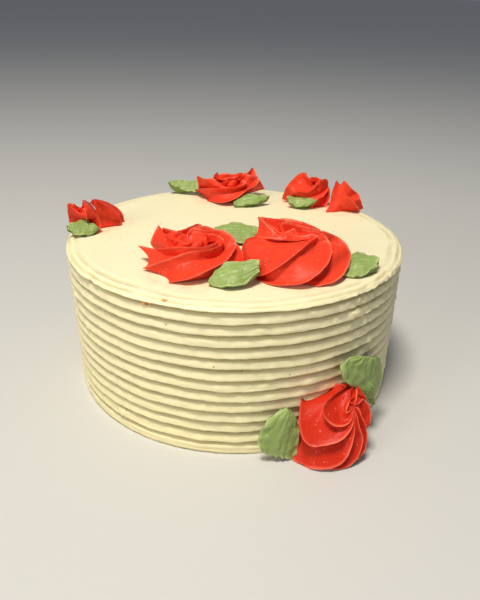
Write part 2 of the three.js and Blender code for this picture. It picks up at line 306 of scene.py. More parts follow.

# Red butter icing out of a star nozzle: satin, with a painted glow on its thin fin edges and a few burst
# bubbles.
RED = material("red_buttercream", 0.4, 0.14, 0.15, (1.0, 0.3, 0.15), [
    ["clouds", NOISE, {"Vector": "place", "Scale": each(8.33), "Detail": 3}],
    ["even", MIX, {"Factor": "clouds", 6: "#DC3620", 7: "#EC4A2E"}],
    # painted shade: the rose at the foot, low on the side, is painted a deeper red for the less light that
    # reaches it
    ["height", HEIGHT, {"Vector": "place"}],
    ["low", RANGE, ["height", 70 * MM, 40 * MM, 0, 0.6]],
    ["body", MIX, {"Factor": "low", 6: "even", 7: "#B81E0A"}],
    # a painted glow where light comes through a fin's thin crest
    ["crest", CREST, {}],
    ["thin", RANGE, ["crest", 0.68, 1, 0, 0.85]],
    ["edged", MIX, {"Factor": "thin", 6: "body", 7: "#FF8466"}],
    # holes of bubbles, one in each 4 mm cell, up to 1 mm wide, with painted shade inside
    ["bubble", CELLS, {"Vector": "place", "Scale": each(4.17)}],
    ["hole", RANGE, ["bubble", 0.05, 0.12, 1, 0]],
    ["dark", TIMES, ["hole", 0.5]],
    ["pocked", MIX, {"Factor": "dark", 6: "edged", 7: "#A81C0C"}],
    # pale specks, one in each 3 mm cell: sugar grains with painted glints on them
    ["specks", CELLS, {"Vector": "place", "Scale": each(3.03)}],
    ["speck", RANGE, ["specks", 0.08, 0.18, 0.5, 0]],
    ["colour", MIX, {"Factor": "speck", 6: "pocked", 7: "#FF8E6C"}],
    ["grain", NOISE, {"Vector": "place", "Scale": each(2.38), "Detail": 3}],
    ["pitted", TIMES_ADD, ["hole", -1.2, "grain"]],
    ["relief", BUMP, {"Strength": 0.45, "Distance": RELIEF, "Height": "pitted"}],
])

# Green butter icing out of a leaf nozzle: satin, striped along its length, with a painted pale glow at its
# thin edges and painted shade on its underside.
GREEN = material("green_buttercream", 0.45, 0.4, 0.15, (0.6, 1.0, 0.25), [
    ["clouds", NOISE, {"Vector": "place", "Scale": each(11.1), "Detail": 3}],
    ["body", MIX, {"Factor": "clouds", 6: "#849A50", 7: "#9DB066"}],
    ["rim", RIM, {}],
    # an underside has the rim value -1, and is painted a deeper green for the shade under the leaf
    ["under", RANGE, ["rim", -1, 0, 0.7, 0]],
    ["sided", MIX, {"Factor": "under", 6: "body", 7: "#5E7A34"}],
    # a painted pale glow at the thin long edges and the torn end
    ["thin", RANGE, ["rim", 0, 1, 0, 0.7]],
    ["edged", MIX, {"Factor": "thin", 6: "sided", 7: "#C6D292"}],
    # pale specks of sugar and fat
    ["specks", CELLS, {"Vector": "place", "Scale": each(3.85)}],
    ["speck", RANGE, ["specks", 0.08, 0.16, 0.6, 0]],
    ["colour", MIX, {"Factor": "speck", 6: "edged", 7: "#CFDAA4"}],
    ["grain", NOISE, {"Vector": "place", "Scale": each(2.38), "Detail": 3}],
    ["relief", BUMP, {"Strength": 0.4, "Distance": RELIEF, "Height": "grain"}],
])


# ---- The cake: Geometry Nodes ------------------------------------------------
AROUND = 460  # points round the cake, 1.4 mm apart
UP = 182  # rows up the side, which crowd towards the grooves and turn in over the shoulder
CAP_RINGS = 9

CAKE_INPUTS = {
    "height": CAKE_TOP * MM,
    "foot radius": FOOT_R * MM,
    "rim radius": RIM_R * MM,
    "first groove": FIRST_GROOVE_Z * MM,
    "pitch": GROOVE_PITCH * MM,
    "depth": GROOVE_DEPTH * MM,
    "crowding": 0.62 * GROOVE_PITCH / (2 * pi) * MM,
    "wander": 1.6 * MM,
    "raggedness": 0.6 * MM,
    "drag marks": 0.4 * MM,
    "slow waves": 0.5 * MM,
    "lip droop": 0.9 * MM,
    "knob height": 0.9 * MM,
    "shoulder rows": 10 * MM,
    "shoulder drop": 2.8 * MM,
    "shoulder reach": 10.5 * MM,
    "fold depth": 1.3 * MM,
    "lean": -1.5 * MM,
    "foot height": 1.6 * MM,
    "foot tuck": 0.8 * MM,
    "unevenness of the top": 0.7 * MM,
    # shares of the sizes above
    "own wander": 0.4,
    "tremble": 0.22,
    "uneven pressure": 0.5,
    "filling of a smear": -0.6,
    "tearing of a smear": 3.2,
    "fold wander": 0.26,
    "fold spread": 1.7,
    "least fold": 0.55,
    "fold shade": 0.75,
    "droop spread": 0.9,
    "least droop": 0.5,
}

# One ridge, from a groove up to the next, as curves through (share of the pitch, value): the share of the
# groove's depth, how dark it is there, as the lip above keeps the light out, and how far the lip droops over
# the groove. The last holds the two folds that the smoothing of the top left on the shoulder, over the share
# of its way in. Each curve is a list of its two ends first and then the points between them.
CURVES = {
    "profile": ("part", [(0, 1), (1, 0.95), (0.06, 0.97), (0.12, 0.6), (0.16, 0.1), (0.21, 0), (0.35, 0.08),
                         (0.55, 0.2), (0.72, 0.36), (0.84, 0.62), (0.93, 0.85)]),
    "shade shape": ("part", [(0, 1), (1, 1), (0.1, 0.95), (0.15, 0.35), (0.19, 0), (0.66, 0), (0.78, 0.25),
                             (0.87, 0.8), (0.94, 0.97)]),
    "lip shape": ("part", [(0, 0), (1, 0), (0.12, 0.3), (0.19, 1), (0.3, 0.8), (0.6, 0.2)]),
    "fold": ("fold at", [(0, 0), (1, 0), (0.3, 0), (0.38, 0.7), (0.44, 0.8), (0.54, 0.15), (0.64, 0),
                         (0.73, 0.4), (0.8, 0.5), (0.9, 0.2), (0.97, 0)]),
}

# where a point of the plain drum stands
PLACE_STEPS = [
    ["half", TIMES, ["height", 0.5]],
    ["row", SUM, ["Z", "half"]],
    # the upper rows turn in over the shoulder, and those below them make the wall
    ["wall", LESS, ["height", "shoulder rows"]],
    ["over wall", LESS, ["row", "wall"]],
    ["shoulder part", OVER, ["over wall", "shoulder rows"]],
    ["shoulder", MOST, ["shoulder part", 0]],
    ["wall row", LEAST, ["row", "wall"]],
    ["wall height", LESS, ["height", "shoulder drop"]],
    ["stretch", OVER, ["wall height", "wall"]],
    ["raised", TIMES, ["wall row", "stretch"]],
    ["share", OVER, ["raised", "height"]],
    ["x squared", TIMES, ["X", "X"]],
    ["reach squared", TIMES_ADD, ["Y", "Y", "x squared"]],
    ["reach", ROOT, ["reach squared"]],
    ["safe reach", MOST, ["reach", 0.0001]],
    ["east", OVER, ["X", "safe reach"]],
    ["north", OVER, ["Y", "safe reach"]],
    # the rows crowd towards the grooves, less in the lowest twelfth and the uppermost sixteenth of the side
    ["over first", LESS, ["raised", "first groove"]],
    ["even phase", OVER, ["over first", "pitch"]],
    ["turns", TIMES_ADD, ["even phase", 2 * pi, -0.6]],
    ["wave", SINE, ["turns"]],
    ["from foot", TIMES, ["share", 12]],
    ["from rim", TIMES_ADD, ["share", -16, 16]],
    ["nearer end", LEAST, ["from foot", "from rim"]],
    ["free", LEAST, ["nearer end", 1]],
    ["crowded", TIMES, ["wave", "crowding"]],
    ["crowd", TIMES, ["crowded", "free"]],
    ["level", LESS, ["raised", "crowd"]],
    ["surface x", TIMES, ["X", "foot radius"]],
    ["surface y", TIMES, ["Y", "foot radius"]],
    ["surface", VECTOR, ["surface x", "surface y", "row"]],
]

# noise read on the surface: [name, lumps in a metre round the cake, in a metre upwards, detail, offset]
UNEVEN = [
    ["comb path", 11, 6, 1, 3.1],
    ["comb tremble", 45, 30, 1, 8.3],
    ["own path", 16, 150, 1, 9.1],
    ["pressure", 24, 60, 2, 7.7],
    ["tears", 230, 330, 3, 1.3],
    ["drag", 26, 950, 2, 4.4],
    ["slow", 9, 9, 1, 5.5],
    ["droop", 60, 60, 3, 6.1],
    ["knobs", 95, 150, 0, 2.7],
    ["fold path", 18, 0, 2, 5.2],
    ["fold tear", 45, 0, 2, 8.1],
    ["swirl", 28, 28, 2, 2.2],
]

# where the comb's grooves were smeared shut: [middle x, y, z, reach], in millimetres
SMEARS = [[66, -72, 72, 22], [84, -50, 82, 16], [-74, -64, 86, 12]]
SMEAR_CORE = 0.3  # the share of its reach where a smear starts to fade
SHOULDER_RUN = 6 * MM  # the comb's pattern goes on over the shoulder as if it rose so far more
COMB_START, COMB_FADE, COMB_END = -0.35, GROOVES - 0.8, GROOVES - 0.45  # in pitches above the first groove
EDGE = 0.9999  # share of the drum's radius beyond which a point is on its side

SHAPE_STEPS = [
    ["smear 0", SUM, [0, 0]],
    *(
        step
        for n, (x, y, z, reach) in enumerate(SMEARS)
        for step in (
            [f"off {n}", FAR, ["surface", (x * MM, y * MM, z * MM)]],
            [f"here {n}", RANGE, [f"off {n}", reach * SMEAR_CORE * MM, reach * MM, 1, 0]],
            [f"smear {n + 1}", MOST, [f"smear {n}", f"here {n}"]],
        )
    ),
    # the comb wandered up and down as the cake turned, least near the foot and the shoulder
    ["own and all", TIMES_ADD, ["own path", "own wander", "comb path"]],
    ["path", TIMES_ADD, ["comb tremble", "tremble", "own and all"]],
    ["free path", TIMES, ["path", "free"]],
    ["shift", TIMES, ["free path", "wander"]],
    ["combed level", LESS, ["over first", "shift"]],
    ["moved level", LESS, ["combed level", "crowd"]],
    ["run on", TIMES_ADD, ["shoulder", SHOULDER_RUN, "moved level"]],
    ["phase", OVER, ["run on", "pitch"]],
    ["part", PART, ["phase"]],
    ["fold at", TIMES_ADD, ["fold path", "fold wander", "shoulder"]],
]
RIDGE_STEPS = [
    ["over start", ABOVE, ["phase", COMB_START]],
    ["under end", RANGE, ["phase", COMB_FADE, COMB_END, 1, 0]],
    ["combed", TIMES, ["over start", "under end"]],
    # the comb was pressed unevenly, and a smear fills its grooves
    ["force", TIMES_ADD, ["pressure", "uneven pressure", 1]],
    ["smeared force", TIMES_ADD, [f"smear {len(SMEARS)}", "filling of a smear", "force"]],
    ["deep", TIMES, ["smeared force", "depth"]],
    ["groove", TIMES, ["profile", "combed"]],
    ["cut", TIMES, ["groove", "deep"]],
    # the edge of the drum at this level
    ["flare", LESS, ["rim radius", "foot radius"]],
    ["crest", TIMES_ADD, ["flare", "share", "foot radius"]],
    ["with waves", TIMES_ADD, ["slow", "slow waves", "crest"]],
    ["with drag", TIMES_ADD, ["drag", "drag marks", "with waves"]],
    # the icing tore under the comb, most where it was smeared, and left small knobs
    ["tearing", TIMES_ADD, [f"smear {len(SMEARS)}", "tearing of a smear", 1]],
    ["torn", TIMES, ["tearing", "tears"]],
    ["with tears", TIMES_ADD, ["torn", "raggedness", "with drag"]],
    ["knob", RANGE, ["knobs", 0.42, 0.8, 0, 1]],
    ["with knobs", TIMES_ADD, ["knob", "knob height", "with tears"]],
    ["side", LESS, ["with knobs", "cut"]],
    # the foot is tucked in a little
    ["foot part", OVER, ["raised", "foot height"]],
    ["foot left", LESS, [1, "foot part"]],
    ["foot near", MOST, ["foot left", 0]],
    ["foot in", TIMES, ["foot near", "foot tuck"]],
    ["tucked", LESS, ["side", "foot in"]],
    # a quarter of an ellipse in over the shoulder
    ["turned", TIMES, ["shoulder", pi / 2]],
    ["turned on", SUM, ["turned", pi / 2]],
    ["rise share", SINE, ["turned"]],
    ["way left", SINE, ["turned on"]],
    ["way in", LESS, [1, "way left"]],
    ["inward", TIMES, ["way in", "shoulder reach"]],
    ["drawn in", LESS, ["tucked", "inward"]],
    ["radius", TIMES, ["reach", "drawn in"]],
    ["risen", TIMES_ADD, ["rise share", "shoulder drop", "level"]],
    ["belly", TIMES, ["rise share", "way left"]],
    ["streak", TIMES, ["belly", "drag"]],
    ["streaked", TIMES_ADD, ["streak", "drag marks", "risen"]],
    # folds on the shoulder, in patches, and the uneven top inside them
    ["fold strength", TIMES_ADD, ["fold tear", "fold spread", "least fold"]],
    ["fold force", MOST, ["fold strength", 0]],
    ["fold share", TIMES, ["fold", "fold force"]],
    ["fold sink", TIMES, ["fold share", "fold depth"]],
    ["uneven top", TIMES_ADD, ["swirl", 0.5, 0.5]],
    ["top part", TIMES, ["uneven top", "way in"]],
    ["top sink", TIMES_ADD, ["top part", "unevenness of the top", "fold sink"]],
    # a ridge's lip droops over the groove below it
    ["lip", TIMES, ["lip shape", "combed"]],
    ["droop part", TIMES_ADD, ["droop", "droop spread", "least droop"]],
    ["lip part", TIMES, ["lip", "droop part"]],
    ["all sink", TIMES_ADD, ["lip part", "lip droop", "top sink"]],
    ["sunk level", LESS, ["streaked", "all sink"]],
    # nothing goes below the floor
    ["final level", MOST, ["sunk level", 0]],
    # the cake leans a little to the left
    ["leaned", TIMES, ["share", "lean"]],
    ["final x", TIMES_ADD, ["east", "radius", "leaned"]],
    ["final y", TIMES, ["north", "radius"]],
    ["final place", VECTOR, ["final x", "final y", "final level"]],
    # how much painted shade a point of the side gets in a groove or a fold
    ["at side", ABOVE, ["reach", EDGE]],
    ["shaded", TIMES, ["shade shape", "combed"]],
    ["with fold", TIMES_ADD, ["fold share", "fold shade", "shaded"]],
    ["seen groove", TIMES, ["with fold", "at side"]],
]


def cake_tree():
    """A drum whose side is cut by uneven level grooves, with a rounded rim, all set by the tree's inputs."""
    tree = bpy.data.node_groups.new("combed_cake", "GeometryNodeTree")
    for way in ("INPUT", "OUTPUT"):
        tree.interface.new_socket("Geometry", in_out=way, socket_type="NodeSocketGeometry")
    for name in CAKE_INPUTS:
        tree.interface.new_socket(name, in_out="INPUT", socket_type="NodeSocketFloat")
    tree.interface.new_socket("icing", in_out="INPUT", socket_type="NodeSocketMaterial")
    given = tree.nodes.new("NodeGroupInput").outputs
    known = {name: given[name] for name in [*CAKE_INPUTS, "icing"]}
    here = add(tree, "GeometryNodeInputPosition", {}, {})
    known.update(add(tree, "ShaderNodeSeparateXYZ", {}, {0: here}).node.outputs.items())
    build(tree, PLACE_STEPS, known)
    for name, sideways, upwards, detail, offset in UNEVEN:
        build(tree, [
            [f"{name} place", SCALED,
             ["surface", (sideways, sideways, upwards), (offset, 0.7 * offset, 0.3 * offset)]],
            [f"{name} share", NOISE, {"Vector": f"{name} place", "Scale": 1, "Detail": detail}],
            [name, TIMES_ADD, [f"{name} share", 2, -1]],
        ], known)
    build(tree, SHAPE_STEPS, known)
    for name, (over, knots) in CURVES.items():
        known[name] = add(tree, "ShaderNodeFloatCurve", {}, {"Value": known[over]})
        mapping = known[name].node.mapping
        for k, knot in enumerate(knots):
            point = mapping.curves[0].points[k] if k < 2 else mapping.curves[0].points.new(*knot)
            point.location = knot
        mapping.update()
    build(tree, RIDGE_STEPS, known)
    build(tree, [
        ["drum", ("GeometryNodeMeshCylinder", {"fill_type": "TRIANGLE_FAN"}, "Mesh"),
         {"Vertices": AROUND, "Side Segments": UP, "Fill Segments": CAP_RINGS, "Depth": "height"}],
        ["named", ("GeometryNodeStoreNamedAttribute", {"data_type": "FLOAT", "domain": "POINT"}, 0),
         {"Geometry": "drum", "Name": "hollow", "Value": "seen groove"}],
        ["shaped", ("GeometryNodeSetPosition", {}, 0), {"Geometry": "named", "Position": "final place"}],
        ["soft", ("GeometryNodeSetShadeSmooth", {}, 0), {"Geometry": "shaped"}],
        ["real", ("GeometryNodeRealizeInstances", {}, 0), {"Geometry": "soft"}],
        ["iced", ("GeometryNodeSetMaterial", {}, 0), {"Geometry": "real", "Material": "icing"}],
    ], known)
    tree.links.new(known["iced"], tree.nodes.new("NodeGroupOutput").inputs["Geometry"])
    return tree


def made_by_nodes(name, tree, inputs):
    """The result of a tree as a plain mesh object, with its inputs set by their identifiers."""
    carrier = placed(name + "_tree", bpy.data.meshes.new(name + "_tree"))
    modifier = carrier.modifiers.new("shape", "NODES")
    modifier.node_group = tree
    for item in tree.interface.items_tree:
        if item.in_out == "INPUT" and item.name in inputs:
            modifier[item.identifier] = inputs[item.name]
    bpy.context.view_layer.update()
    depsgraph = bpy.context.evaluated_depsgraph_get()
    mesh = bpy.data.meshes.new_from_object(carrier.evaluated_get(depsgraph))
    carrier.modifiers.remove(modifier)
    bpy.data.objects.remove(carrier)
    mesh.name = name
    return placed(name, mesh)


dress(made_by_nodes("combed_icing", cake_tree(), {**CAKE_INPUTS, "icing": IVORY}), "cake")

# ---- Roses -------------------------------------------------------------------
ROSE_RINGS, FIN_POINTS = 120, 36  # points along a fin, and from one fin to the next
SUNK = 1.5  # how far the roses sink into the icing under them
CORE = 0.35  # height of a rose's solid core, as a share of its height
EDGE_CROWDING = 0.12  # how much the points between two fins crowd towards them
SWELL, MOST_SWELL = 0.8, 1.5  # how much of the lost roundness between two fins is given back, and its limit
INNER_FROM, INNER_OVER = 0.45, 0.3  # the parts of a fin's way before its inner part, and until that is full
OUTER_FALL, INNER_FALL = 0.5, 1.1  # how flanks fall away from a fin's edge: sharply outside, softly inside
EDGE_WIDTH = 0.0004  # rounds the edge of a fin
FULL_GAP = 10  # between fins nearer to each other than this the surface falls back less
MIDDLE_PART = 0.1  # the last part of a fin's way in, where the surface closes
SMALLEST, AXIS = 0.5, 0.1  # keep lengths from being zero, the second close to the axis
LUMPS, LUMP_RISE, TORN_RISE = 2.2, 0.1, 0.2  # size and height of lumps, and how much higher an edge's are
ROSE_SHARP, LEAF_SHARP, CRUMB_SHARP = 55, 60, 40  # degrees by which a sharp edge turns
ROSE_SEED, CRUMB_SEED, TEETH_SEED, BEND_SEED, RIB_SEED = 11, 3, 21, 4, 9  # of the noises
# the heart of an open rose, from its foot to its tip: its outline as shares of its radius and of its height
BUD_RINGS, BUD_POINTS = 50, 150
BUD_OUT = [0.9, 1, 1.02, 0.92, 0.62, 0.36, 0.12]
BUD_UP = [0.2, 0.5, 0.78, 0.96, 0.98, 0.84, 0.72]
BUD_TWIST, BUD_ROUND = 1.6, 0.6  # radians that its lobes turn, and the power that makes them round
LOBE_DEPTH, LOBE_DROP = 0.2, 0.06  # the cuts between its lobes, as shares of its radius and of its height
LOBE_CREST = 0.3  # how much painted edge glow the outermost tenth of a lobe gets
# the rose at the foot leans on the side: its turn to the right, distance, height and how far it tips up
FOOT_ROSE_TURN, FOOT_ROSE_OUT, FOOT_ROSE_UP, FOOT_ROSE_TIP = 30, 104, 13.5, 45


def swept_rose(fins, height, depth, ring, valley, middle):
    """The points of a rose through its fins' edges, ring by ring, and how near each is to an edge.

    A fin is a line of points from its foot to the swirl's middle, where all of them meet. Between two fins
    the surface falls back towards the core, a ring of radius "ring", as far as "depth", at the share "valley"
    of the way. The depth is one number, or one for each fin's own valley.
    """
    t = np.linspace(0, 1, ROSE_RINGS)
    u = np.arange(FIN_POINTS) / FIN_POINTS
    across = (u - EDGE_CROWDING * np.sin(2 * pi * u))[None, :, None]
    inner = smooth(np.clip((t - INNER_FROM) / INNER_OVER, 0, 1))[:, None, None]
    closing = np.minimum(1, (1 - t[:, None, None]) / MIDDLE_PART)
    lines = [along([*fin, middle], t)[:, None, :] for fin in fins]
    depths = np.broadcast_to(depth, len(lines))
    parts, crests = [], []
    for n, line in enumerate(lines):
        after = lines[(n + 1) % len(lines)]
        flat = line + (after - line) * across
        # a straight line between two fins runs too near the middle, so it's moved out again
        reach = np.hypot(line[..., :1], line[..., 1:2])
        reach = reach + (np.hypot(after[..., :1], after[..., 1:2]) - reach) * across
        now = np.hypot(flat[..., :1], flat[..., 1:2])
        swell = 1 + SWELL * (np.clip(reach / np.maximum(now, SMALLEST), 1, MOST_SWELL) - 1)
        flat = flat * np.concatenate([swell, swell, np.ones_like(swell)], -1)
        # the valley between them
        turned = across ** (np.log(0.5) / np.log(valley + (0.5 - valley) * inner))
        power = OUTER_FALL + (INNER_FALL - OUTER_FALL) * inner
        fall = (np.sin(pi * turned) ** 2 + EDGE_WIDTH) ** (power / 2)
        now = np.hypot(flat[..., :1], flat[..., 1:2])
        pull = np.concatenate([
            -flat[..., :2] / np.maximum(now, AXIS) * np.maximum(now - ring, 0),
            -np.maximum(flat[..., 2:] - height * CORE, SMALLEST)], -1)
        pull /= np.linalg.norm(pull, axis=-1, keepdims=True)
        gap = np.linalg.norm(after - line, axis=-1, keepdims=True)
        deep = depths[n] * np.minimum(1, gap / FULL_GAP) * closing
        parts.append(flat + pull * deep * fall)
        crests.append(np.broadcast_to(1 - fall[..., 0], flat.shape[:2]))
    return np.concatenate(parts, 1), np.concatenate(crests, 1)


def bud(x, y, radius, height, lobes):
    """The round-lobed heart of an open rose, and how near each point is to an edge."""
    t, a = np.linspace(0, 1, BUD_RINGS)[:, None], np.linspace(0, 2 * pi, BUD_POINTS, endpoint=False)[None, :]
    lobe = np.abs(np.sin(lobes / 2 * (a - BUD_TWIST * t))) ** BUD_ROUND
    out = radius * along(BUD_OUT, t) * (1 - LOBE_DEPTH + LOBE_DEPTH * lobe)
    up = height * along(BUD_UP, t) * (1 - LOBE_DROP + LOBE_DROP * lobe)
    grid = np.stack([x + out * np.cos(a), y + out * np.sin(a), up + 0 * a], -1)
    return grid, LOBE_CREST * (lobe > 0.9)


def foot_rose_place():
    """Where the rose at the foot stands: against the side, with its face tipped up and out."""
    turn, tip = radians(FOOT_ROSE_TURN), radians(FOOT_ROSE_TIP)
    outward = Vector((sin(turn), -cos(turn), 0))
    facing = Vector((outward.x * cos(tip), outward.y * cos(tip), sin(tip)))
    across = Vector((cos(turn), sin(turn), 0))
    place = Matrix((across, facing.cross(across), facing)).transposed().to_4x4()
    place.translation = outward * FOOT_ROSE_OUT + Vector((0, 0, FOOT_ROSE_UP))
    return place


def make_rose(name, node, centre, height, depth, ring, valley, middle, heart, fins):
    """One rose with slightly lumpy icing, on the top of the cake or, for the foot rose, against its side."""
    points, faces, crests = np.empty((0, 3)), [], np.empty(0)
    parts = [swept_rose(fins, height, depth, ring, valley, middle)] + ([bud(*heart)] if heart else [])
    for grid, crest in parts:
        away = grid - np.array([0, 0, height * CORE])
        away /= np.linalg.norm(away, axis=-1, keepdims=True)
        rise = LUMP_RISE + TORN_RISE * crest[..., None]
        grid = grid + away * noise(grid, LUMPS, ROSE_SEED)[..., None] * rise
        start = len(points)
        faces += [tuple(start + k for k in face) for face in loft_faces(len(grid), grid.shape[1])]
        points, crests = np.vstack([points, closed(grid)]), np.append(crests, closed(crest[..., None])[:, 0])
    if name == "foot_rose":
        place = foot_rose_place()
        points = (points + [*centre, 0]) @ np.array(place.to_3x3()).T + np.array(place.translation)
        points[:, 2] = np.maximum(points[:, 2], FLOOR_CLEARANCE)
    else:
        points[:, 2] = np.maximum(points[:, 2], -SUNK)
        points = points + [*centre, CAKE_TOP]
    dress(piece(name, points, faces, RED, {"crest": crests}, ROSE_SHARP), node)


